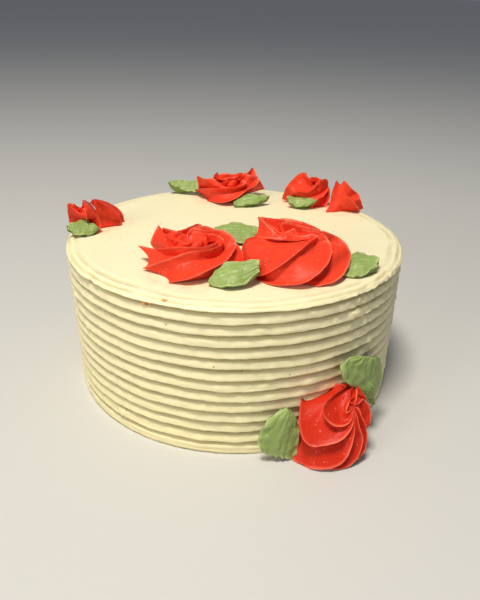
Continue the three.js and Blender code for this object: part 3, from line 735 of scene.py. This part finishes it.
# [name, node, (x, y) of the centre, height, depth of the valleys, radius of the core, where the valleys lie,
# the middle where the fins meet, the heart or None, fins]: the heart is (x, y, radius, height, lobes), and a
# fin is a line of points (x, y, up) from its foot to near the middle, in millimetres from the centre. Fins go
# round anticlockwise, seen from outside. The foot rose's numbers are in the directions of its own place.
SWEPT = [
    ["front_left_rose", "rose_front_left", (-21.5, -50), 18, 6, 13, 0.6, (-3, 4, 6), (-3.5, 4, 9.5, 13.5, 6),
     [
        [(-22.5, 13, 0), (-27, 11.5, 7), (-22, 10.5, 17.5), (-19.5, 6.5, 16), (-16.5, 4.5, 13.5),
         (-13, 4, 11.5)],
        [(-33, 4, 8), (-25, 2, 7), (-15.5, -10.5, 13), (-6.5, -13, 15), (3, -13, 15), (10, -6, 14),
         (10.5, 4.5, 12), (2.5, 4.5, 10)],
        [(-28.5, -11.5, 1), (-18.5, -18, 7.5), (-11, -19, 11), (-2, -17, 14), (7, -14.5, 14.5),
         (14, -4.5, 13.5), (14, 1, 14.5), (6, 6.5, 15), (-4, 10, 13.5)],
        [(-12.5, -27, 0), (-2, -30, 3.5), (9, -25.5, 7), (18, -15.5, 9), (22, 0, 10.5), (20, 4.5, 14.5),
         (13.5, 8.5, 16.5), (6.5, 6.5, 16.5), (-4.5, 12, 15)],
        [(23.5, -13.5, 0), (27, 0, 4), (21, 12, 9), (10, 17.5, 14), (1, 14, 16.5), (-5, 8.5, 14.5)],
        [(15.5, 18.5, 0), (10.5, 19.5, 8), (4, 15, 16), (0, 15.5, 18), (-4, 11.5, 17), (-8.5, 9, 15.5),
         (-11.5, 8, 14)],
        [(-5.5, 21.5, 0), (-11, 18, 8), (-19, 6.5, 17.5), (-14.5, 7.5, 16.5), (-10.5, 6.5, 15.5),
         (-7, 8, 13)],
    ]],
    ["front_right_rose", "rose_front_right", (27, -47), 21, (3, 2, 4.5, 6.5, 5, 5, 4), 12, 0.36,
     (-1.5, 4, 16), None, [
        [(-14, 11.5, 1), (-13.5, 10.5, 5), (-13.5, 12, 11), (-14, 13.5, 14.5), (-14.5, 15.5, 18),
         (-15.5, 15, 21), (-12, 8.5, 20.5), (-8, 3, 18.5), (-3.5, 0.5, 15)],
        [(-20.5, 7.5, 1), (-24.5, -1, 1), (-24.5, 5, 5), (-22, 9, 10), (-18, 3.5, 13.5), (-13, -1, 15.5),
         (-6.5, -6, 17), (-1, -5.5, 17.5)],
        [(-22.5, -13, 0), (-16.5, -23, 1.5), (-9, -28.5, 7), (-1, -27, 12.5), (6.5, -20.5, 16.5),
         (11.5, -14, 18.5), (16.5, -3.5, 17.5), (12.5, -2.5, 18), (7, -2.5, 17)],
        [(-16, -23.5, 0), (-6.5, -31, 0.5), (8, -33.5, 3.5), (19, -26, 9), (23.5, -14, 13),
         (22.5, -5.5, 15.5), (18.5, -3.5, 19), (11.5, -0.5, 19.5), (5, 5.5, 18.5)],
        [(15, -30, 0), (24.5, -27.5, 2), (31, -19, 4), (35, -7, 7), (33.5, -4, 12.5), (28.5, -1, 16.5),
         (22, -2.5, 19.5), (16.5, -1.5, 20.5), (9.5, 2, 21), (3, 6, 21), (-2.5, 10.5, 20)],
        [(32, 0, 0), (30.5, 5.5, 4), (28, 10.5, 8), (23, 14.5, 12), (17, 17, 15.5), (18, -0.5, 20.5),
         (13, 5, 21), (8, 9.5, 21), (1.5, 14, 21), (-3.5, 14.5, 20)],
        [(11, 19, 0), (3.5, 20.5, 8), (-3, 17.5, 15), (-1, 13, 21), (-9, 15, 21), (-15.5, 15, 21),
         (-12.5, 12.5, 20.5), (-9, 6.5, 19.5), (-4.5, 4, 17)],
    ]],
    ["foot_rose", "rose_side", (8, 5), 20, (3, 5, 6.5, 5, 4, 4, 4, 3), 6, 0.36, (0, 0, 18.5),
     (1, 2.5, 2.8, 20, 4), [
        [(6.5, 18, 0), (5, 14, 11), (4, 10.5, 19), (1, 8, 20), (-1, 4.5, 20), (-3.5, 1.5, 20), (-6, -1, 20),
         (-4, -1.5, 20)],
        [(-3.5, 19.5, 0), (-2, 16, 11), (0, 11.5, 19.5), (-8.5, 9.5, 19.5), (-15, 6.5, 18), (-18, 2.5, 17),
         (-17.5, -2, 17), (-14.5, -6, 17.5), (-10, -7.5, 18.5), (-5.5, -6.5, 19.5), (-3, -3, 20)],
        [(-22.5, 14, 8.5), (-26.5, 8, 8.5), (-29.5, 1, 8), (-30, -7, 7.5), (-27, -12, 8.5), (-21, -14, 12),
         (-13.5, -14, 15.5), (-7, -11, 18), (-4, -6.5, 20), (-2, -2.5, 20)],
        [(-31.5, -15, -8), (-29, -19.5, -6), (-25.5, -23.5, 0.5), (-19, -26, 5), (-12.5, -25.5, 8),
         (-8.5, -21.5, 12), (-5.5, -15, 16.5), (-3.5, -8.5, 19), (-1.5, -3.5, 20)],
        [(-18.5, -26.5, 4.5), (-10.5, -28.5, 5), (-4, -27, 7.5), (-0.5, -22.5, 11.5), (0.5, -17, 15.5),
         (-1, -11, 18.5), (-1, -5, 20)],
        [(-2.5, -27, 7.5), (3, -23, 10), (4, -17, 14.5), (3.5, -11, 18), (2, -5, 20), (1.5, -1.5, 20)],
        [(11.5, -14, 2), (9.5, -13, 9), (7.5, -11.5, 16.5), (10, -6, 17.5), (9.5, -1.5, 19), (7, 2, 19.5),
         (4, 1, 20)],
        [(16.5, 3.5, 0), (14, 3, 9), (10, 1.5, 18.5), (8.5, 5.5, 19), (7.5, 10, 18.5), (4.5, 6.5, 20),
         (2, 2.5, 20)],
    ]],
    ["back_rose", "rose_back", (-9, 73.5), 18, 5, 12, 0.5, (1, 2, 7), (1, 2.5, 8.5, 14, 6), [
        [(-7, 19, 0), (-9.5, 16.5, 9), (-6, -2, 19), (-8.5, -7, 17.5), (-6.5, -4.5, 14)],
        [(-21, 12, 1), (-20.5, 1, 7), (-21.5, -0.5, 15), (-15, -12, 16.5), (-9, -11.5, 16.5), (-5, -8.5, 13)],
        [(-25, 5.5, 3), (-17, -10, 8.5), (-7.5, -16.5, 11), (1.5, -18, 12), (10, -16.5, 13),
         (14, -12.5, 14.5), (9.5, 1.5, 12)],
        [(-14, -10.5, 0), (-2.5, -21.5, 2), (7.5, -21, 5), (14.5, -16.5, 9.5), (21.5, -8.5, 11.5),
         (23, 1, 14), (16.5, -3, 17), (9.5, -1, 17)],
        [(28.5, 11.5, 3), (26, 6, 9), (22.5, 2.5, 15), (19, 8, 20), (14.5, 0, 18), (7.5, -1.5, 17.5)],
        [(14, 17, 0), (7, 19.5, 8), (11.5, 0, 17.5), (4, -2.5, 18), (-3, -3.5, 18), (-6, 0.5, 14)],
    ]],
    ["right_large_rose", "rose_right_large", (48.5, 62), 20, 5, 6, 0.45, (0, 0, 15.5), None, [
        [(-18.5, 7.5, 0.5), (-17, -1, 10.5), (-14.5, -0.5, 15), (-9, 4.5, 19), (-3.5, 4.5, 21),
         (-1, -4.5, 19.5), (1.5, -6.5, 16)],
        [(-14, 0, 0), (-13.5, -8.5, 8.5), (-8, -10.5, 12), (-2.5, -12, 12), (2, -10.5, 14), (4.5, -7, 16.5),
         (3.5, 1, 16)],
        [(2, -11, 0), (5.5, -12, 6.5), (10.5, -8.5, 8.5), (14, 0, 11.5), (12, -2, 18.5), (6.5, -5, 18.5),
         (4, 2.5, 17)],
        [(13, -6.5, 0), (16, 0, 5), (15, 3.5, 11.5), (8, -5.5, 19), (4.5, -1.5, 19.5), (2, 2, 18.5)],
        [(8.5, 14.5, 0), (2.5, 15, 9), (4, -3.5, 20), (1, 0, 19), (-0.5, -0.5, 17)],
        [(-8.5, 14.5, 0), (-10.5, 10.5, 9), (-3.5, 4.5, 21), (-1.5, 1.5, 20), (0, -3, 17)],
    ]],
    ["right_small_rose", "rose_right_small", (72, 51.5), 20, 4.5, 3, 0.45, (0, 0, 16.5), None, [
        [(-13.5, -7.5, 0), (-11, -4, 4), (-9.5, -3.5, 10), (-7, -2, 16), (-6, 1, 20), (-4, 2, 17)],
        [(12, -3, 0), (5.5, -11, 8.5), (0.5, -10, 12.5), (-2, -3, 15), (-4, -1, 17.5), (-3, 3, 16)],
        [(14, -0.5, 1), (10.5, -6.5, 9.5), (10, 0.5, 11.5), (4.5, -1.5, 15.5), (-1, 0, 20), (-2.5, -0.5, 17)],
        [(6, 10.5, 0), (5, 10.5, 6), (3.5, 9.5, 12), (2.5, 0, 17), (-1, 0.5, 19.5)],
        [(-8.5, 10, 0), (-8.5, 8.5, 6), (-7.5, 6.5, 13), (-6, 1, 20), (-5, 1, 18)],
    ]],
    ["left_outer_rose", "rose_left_outer", (-91.5, 2), 19, 4.5, 4, 0.45, (0, 0, 13.5), None, [
        [(7, -9.5, 0), (9.5, -7, 3.5), (8.5, -6.5, 8.5), (6, -6.5, 12.5), (3, -7.5, 16.5), (-0.5, -7.5, 20),
         (-0.5, -5.5, 16)],
        [(6, 10.5, 0), (3, 10.5, 7), (0, 9, 13), (-0.5, -6.5, 19.5), (-1, -6, 15.5)],
        [(-6, 10.5, 0), (-7, 8.5, 8), (-7, -6, 17.5), (-3.5, -6.5, 15), (-2, -5.5, 13.5)],
        [(-11.5, -3.5, 1), (-11.5, -4, 5), (-11.5, -4.5, 10), (-10, -7.5, 17), (-7, -5.5, 16.5),
         (-2.5, -8.5, 14.5)],
        [(-0.5, -6, 0), (0, -6, 5), (2.5, -12.5, 11), (1.5, -10.5, 14), (-0.5, -7, 15)],
    ]],
    ["left_inner_rose", "rose_left_inner", (-77, 16), 17, 2.5, 5, 0.45, (-9, -13, 17), None, [
        [(4, -8.5, 0), (4.5, -7.5, 4), (2.5, -11.5, 8.5), (-1.5, -12.5, 13.5), (-6, -14.5, 16.5),
         (-9.5, -14, 18.5)],
        [(4.5, 0, 1), (3, 2, 5), (0.5, 1.5, 8.5), (-2.5, -2.5, 12), (-5.5, -7, 15), (-9, -13.5, 18)],
        [(-9.5, 3.5, 0), (-8.5, 2.5, 7), (-13.5, -9, 14), (-12.5, -10, 16), (-11, -12, 17.5)],
        [(-8, -15, 0), (-8, -13.5, 4), (-9, -15, 9), (-10, -14.5, 14), (-10, -14, 17.5)],
    ]],
]
for row in SWEPT:
    make_rose(*row)

# ---- Crumbs ------------------------------------------------------------------
# [x, y, z, size] of three bits of sponge that stuck to the icing, in millimetres
CRUMBS = [[-33.8, -92.8, 88.9, 1.2], [-41, -91.9, 86.8, 1], [-43.9, -90.7, 85.7, 0.9]]
SPONGE = material("baked_crumb", 0.8, 0.2, 0.1, (1.0, 0.5, 0.2), [
    ["clouds", NOISE, {"Vector": "place", "Scale": each(1.11), "Detail": 3}],
    ["colour", MIX, {"Factor": "clouds", 6: "#E09A50", 7: "#F2C080"}],
    ["relief", BUMP, {"Strength": 0.6, "Distance": 0.4 * MM, "Height": "clouds"}],
])
CRUMB_RINGS, CRUMB_POINTS = 14, 24
POLE = 0.04  # how far the first and the last ring are from the poles, as a share of the way between these
CRUMB_FORM = [1.3, 0.8, 0.6]  # a crumb's length, width and height, times its size
CRUMB_LUMPS, CRUMB_UNEVEN = 0.7, 0.6  # size and height of its lumps, as shares of its size


def make_crumbs():
    """All crumbs as one piece of small uneven lumps."""
    points, faces = np.empty((0, 3)), []
    t = np.linspace(POLE, 1 - POLE, CRUMB_RINGS)[:, None] * pi
    a = np.linspace(0, 2 * pi, CRUMB_POINTS, endpoint=False)[None, :]
    ball = np.stack([np.sin(t) * np.cos(a), np.sin(t) * np.sin(a), 0 * a - np.cos(t)], -1)
    for x, y, z, size in CRUMBS:
        uneven = 1 + CRUMB_UNEVEN * noise(ball + x, CRUMB_LUMPS, CRUMB_SEED)[..., None]
        lump = ball * size * uneven * CRUMB_FORM
        faces += [tuple(len(points) + k for k in face) for face in loft_faces(CRUMB_RINGS, CRUMB_POINTS)]
        points = np.vstack([points, closed(lump) + [x, y, z]])
    crumbs = piece("crumbs", points, faces, SPONGE, {}, CRUMB_SHARP)
    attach(crumbs, "root")


make_crumbs()

# ---- Leaves ------------------------------------------------------------------
# [name, node, thickness, ribs, their depth, crown of the middle, one long edge, the other long edge], in
# millimetres: an edge is a line of points from the pointed end to the torn end
LEAVES = [
    ["front_leaf", "leaf_front", 3.4, 5, 0.3, 0.6,
        [(-13.5, -77.5, 92), (-10, -72.5, 96), (-4.5, -69.5, 99.5), (3.5, -70, 101), (11.5, -70, 101.5)],
        [(-13, -79, 91.5), (-9, -81.5, 92), (-2.5, -84, 93), (5.5, -81.5, 94), (11.5, -76, 97)]],
    ["middle_leaf", "leaf_middle", 2.4, 7, 0.35, 0.5,
        [(-14, -4.5, 94.5), (-9, -6.5, 97.5), (-2.5, -5, 98.5), (5, -6, 98.5), (15, -10.5, 96.5)],
        [(-12.5, -13.5, 91.5), (-6.5, -19.5, 92), (-0.5, -22, 92.5), (6.5, -21.5, 92.5), (13.5, -16, 92.5)]],
    ["right_leaf", "leaf_right", 3, 6, 0.45, 0.4,
        [(58.5, -52, 93), (62.5, -43, 95), (67, -41.5, 96), (72.5, -43.5, 96), (77.5, -48, 95.5)],
        [(56, -63.5, 91.5), (60, -64.5, 92), (64, -65, 92), (69, -62, 92.5), (74.5, -57, 93)]],
    ["back_left_leaf", "leaf_back_left", 2.2, 4, 0.3, 0.3,
        [(-51.5, 79, 98.5), (-45, 83, 99), (-37.5, 83.5, 99), (-28.5, 86.5, 98.5)],
        [(-50.5, 78.5, 98), (-46, 77, 96.5), (-40, 76, 94.5), (-31, 75, 92.5)]],
    ["back_front_leaf", "leaf_back_front", 3.6, 4, 0.3, 0.4,
        [(-3.5, 51, 93), (0.5, 57, 95.5), (5.5, 59.5, 97), (13.5, 58, 97.5), (21, 57.5, 97)],
        [(-3, 49.5, 92), (1, 49.5, 92.5), (6.5, 49.5, 93), (12.5, 51, 94), (18, 54.5, 95)]],
    ["right_front_leaf", "leaf_right_front", 3.6, 4, 0.35, 0.4,
        [(54, 52, 96.5), (49, 55, 97.5), (43.5, 56, 98), (38.5, 55, 98), (33.5, 53, 98)],
        [(53, 50.5, 96), (48, 48.5, 94), (43.5, 48, 93), (39.5, 49.5, 92.5), (35.5, 51.5, 94)]],
    ["left_front_leaf", "leaf_left_front", 3, 5, 0.4, 0.5,
        [(-83.5, -6, 92.5), (-87, -4, 95.5), (-92, -3.5, 97.5), (-96, -8, 98), (-100.3, -12, 97)],
        [(-84, -6.5, 92), (-86.5, -11.5, 91.5), (-91.5, -14.5, 91.5), (-96, -14.8, 92), (-99.8, -13, 94)]],
    ["foot_low_leaf", "leaf_side_low", 3, 5, 0.35, 1.0,
        [(28, -99.5, 32.5), (21, -102.5, 29), (16, -104.5, 22.5), (14, -105, 14), (16.5, -103.5, 6.5)],
        [(29.5, -99.5, 32), (34, -100, 25), (35.5, -100, 16), (35.5, -100, 6.5), (33.5, -101, 1)]],
    ["foot_high_leaf", "leaf_side_high", 3.2, 8, 0.9, 1.2,
        [(66, -79, 52.5), (59.5, -86, 54), (55.5, -90, 51), (58.5, -89.5, 43), (69, -82, 31), (76, -75, 20)],
        [(80, -65.5, 44), (83.5, -63, 38), (84, -64, 33), (83.5, -65.5, 25.5), (81, -69, 21.5),
         (77.5, -73.5, 19)]],
]
LEAF_RINGS, LEAF_POINTS = 90, 60  # points along a leaf, and across it
TORN, TORN_PART, TEETH = 1.3, 0.2, 14  # the torn end's teeth: how far out, over which part, and how many
RIB_ROUND = 0.7  # the power that makes the ribs round
BEND, BEND_WAVES = 1.5, 3  # how the ribs bend on their way
BEND_PATCHES, RIB_PATCHES = 6, 5  # sizes of the patches where the ribs run and stand differently
POINT_RISE, RIB_RISE = 8, 5  # how fast the relief rises from a leaf's point, and ribs from its long edges
POINT_THICK, END_THICK, END_LEAST = 12, 25, 0.15  # how fast it thickens from its two ends, and least share
EDGE_THIN, RIM_NARROW = 5, 14  # powers: how near its long edges it gets thin, and gets a painted pale glow
LUMPS_AND_GRAIN = [(4, 5, 0.6), (1.5, 6, 0.15)]  # [(size, seed, height)] of the uneven icing
RUFFLES = [(15, 7, 0.5), (31, 0, 0.3)]  # [(waves along, waves across, height)] of the long edges
KEEL_SUNK = 0.8  # how far a leaf's middle sinks into the icing
NEAR_TOP = 5  # a leaf no lower than this under the top lies on it


def make_leaf(name, node, thickness, ribs, ridge, crown, one_edge, other_edge):
    """A thick ribbed sheet between two long edges, pointed at one end and torn at the other."""
    t = np.linspace(0, 1, LEAF_RINGS)
    v = ((1 - np.cos(np.linspace(0, pi, LEAF_POINTS))) / 2)[None, :, None]
    off = np.abs(2 * v - 1)  # 0 in the middle of the leaf, 1 at its long edges
    one, other = along(one_edge, t)[:, None, :], along(other_edge, t)[:, None, :]
    face = one + (other - one) * v
    ahead, across = face[-1].mean(0) - face[0].mean(0), (other - one).mean((0, 1))
    out = np.cross(across, ahead)
    out = out / np.linalg.norm(out) * (1 if out[2] - out[1] > 0 else -1)
    t = t[:, None, None]
    teeth = noise(np.concatenate([v * TEETH, 0 * v, 0 * v], -1), 1, TEETH_SEED)[..., None]
    torn = np.clip((t - 1 + TORN_PART) / TORN_PART, 0, 1)
    face = face + ahead / np.linalg.norm(ahead) * teeth * TORN * torn
    # the upper face: a crowned middle, ribs that fade at the long edges, uneven icing and ruffled edges
    bent = BEND * np.sin(BEND_WAVES * t + ribs) + noise(face, BEND_PATCHES, BEND_SEED)[..., None]
    rib = np.abs(np.sin(pi * ribs * v + bent)) ** RIB_ROUND
    strength = ridge * (1 + noise(face, RIB_PATCHES, RIB_SEED)[..., None])
    lumps = sum(noise(face, size, seed)[..., None] * rise for size, seed, rise in LUMPS_AND_GRAIN)
    from_point = np.minimum(1, t * POINT_RISE) ** 0.5
    ribbed = strength * rib * np.minimum(1, (1 - off) * RIB_RISE) + lumps
    rise = crown * np.sin(pi * v) * 2 + ribbed * from_point
    ruffle = off ** 4 * sum(high * np.sin(waves * t + over * v) for waves, over, high in RUFFLES)
    upper = face + out * (rise + ruffle)
    # the lower face: the leaf is thin at its ends and its long edges
    ends = np.minimum(1, t * POINT_THICK) ** 0.5 * np.minimum(1, (1 - t) * END_THICK + END_LEAST) ** 0.5
    lower = upper - out * (thickness * ends * np.maximum(0, 1 - off ** EDGE_THIN) ** 0.5)
    if lower[..., 2].min() > CAKE_TOP - NEAR_TOP:
        # under its middle a leaf on the top rests on the icing
        share = (1 - off ** 2) ** 2 * np.sin(pi * t)
        keel = np.maximum(lower[..., 2] - CAKE_TOP + KEEL_SUNK, 0) * share[..., 0]
        lower = lower - keel[..., None] * [0, 0, 1]
    under = lower[:, -2:0:-1]
    grid = np.concatenate([upper, under], 1)
    rim = np.broadcast_to(np.maximum(off, 2 * t - 1) ** RIM_NARROW, upper.shape[:2] + (1,))
    rims = np.concatenate([rim, np.full(under.shape[:2] + (1,), -1)], 1)
    if np.dot(np.cross(across, ahead), out) > 0:
        grid, rims = grid[:, ::-1], rims[:, ::-1]
    points = closed(grid)
    points[:, 2] = np.maximum(points[:, 2], FLOOR_CLEARANCE)
    faces = loft_faces(LEAF_RINGS, grid.shape[1])
    dress(piece(name, points, faces, GREEN, {"rim": closed(rims)[:, 0]}, LEAF_SHARP), node)


for leaf in LEAVES:
    make_leaf(*leaf)

# ---- Floor and light ---------------------------------------------------------
FLOOR_RADIUS, FLOOR_SIDES = 30, 96  # in metres, so that its edge is far off
SKY = 0.2  # strength of the pale light from all sides
LIT = Vector((0, 0, 0.06))  # what the lamps look at
# square lamps: [name, place, size, in metres, power in watts, colour]
LAMPS = [
    ["key", (-0.18, -0.44, 1.4), 0.35, 20, "#FFFAEE"],
    ["window", (-1.1, -1.2, 0.6), 0.6, 8, "#FFFCF4"],
]

bpy.ops.mesh.primitive_circle_add(vertices=FLOOR_SIDES, radius=FLOOR_RADIUS, fill_type="NGON")
floor = bpy.context.object
floor.name = "floor"
pale = bpy.data.materials.new("pale_floor")
pale.use_nodes = True
paint = pale.node_tree.nodes["Principled BSDF"].inputs
paint["Base Color"].default_value, paint["Roughness"].default_value = linear("#CFCDC9"), 0.7
floor.data.materials.append(pale)

world = bpy.data.worlds.new("studio")
world.use_nodes = True
sky = world.node_tree.nodes["Background"].inputs
sky["Color"].default_value, sky["Strength"].default_value = linear("#E8F0FF"), SKY
bpy.context.scene.world = world

for name, at, size, power, colour in LAMPS:
    data = bpy.data.lights.new(name, "AREA")
    data.size, data.energy, data.color = size, power, linear(colour)[:3]
    lamp = placed(name, data)
    lamp.location = at
    lamp.rotation_euler = (LIT - Vector(at)).to_track_quat("-Z", "Y").to_euler()
